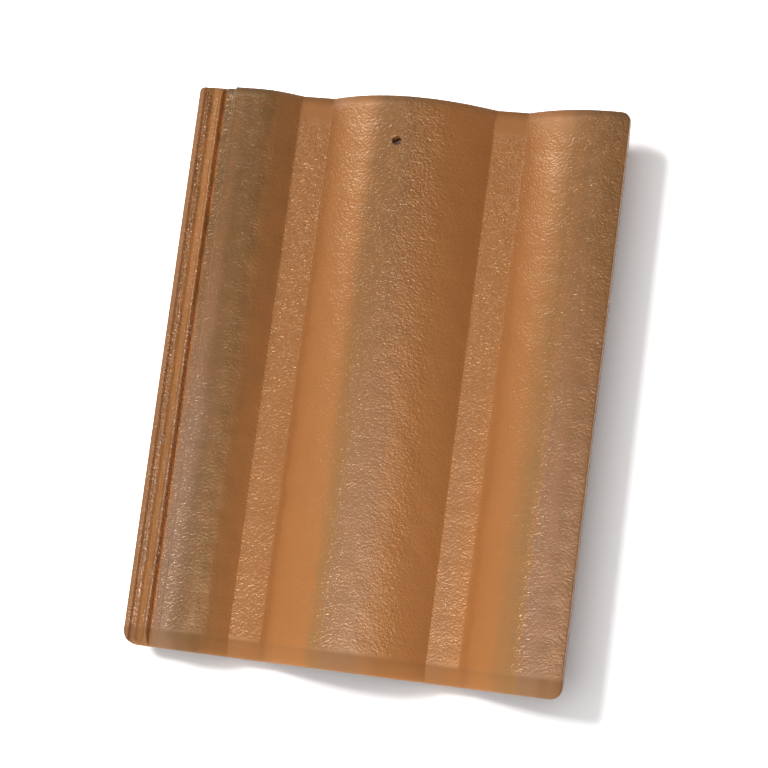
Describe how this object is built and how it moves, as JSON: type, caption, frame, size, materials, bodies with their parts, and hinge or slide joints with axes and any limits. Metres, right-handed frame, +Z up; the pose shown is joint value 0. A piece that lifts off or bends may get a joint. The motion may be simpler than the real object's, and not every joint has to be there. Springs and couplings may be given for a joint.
{
  "type": "interlocking roof tile",
  "caption": "Interlocking double-roll roof tile with narrow flat pans, a ribbed side lock, a rounded nose, hanging nibs at the head and a nail hole in the middle roll.",
  "frame": {"origin": "middle of the tile's footprint, on the level floor that its nibs and nose lip stand on", "axes": "+X across the tile from the underlock to the overlock, +Y along it from the nose to the head, +Z up out of the weathered face"},
  "size_m": [0.33, 0.42, 0.0485],
  "materials": {
    "coated_clay": "terracotta-coloured coating with a gritty satin gloss and grey-mauve sprayed bands along the rolls"
  },
  "bodies": {
    "root": {"roof_tile": "coated_clay"}
  },
  "joints": []
}
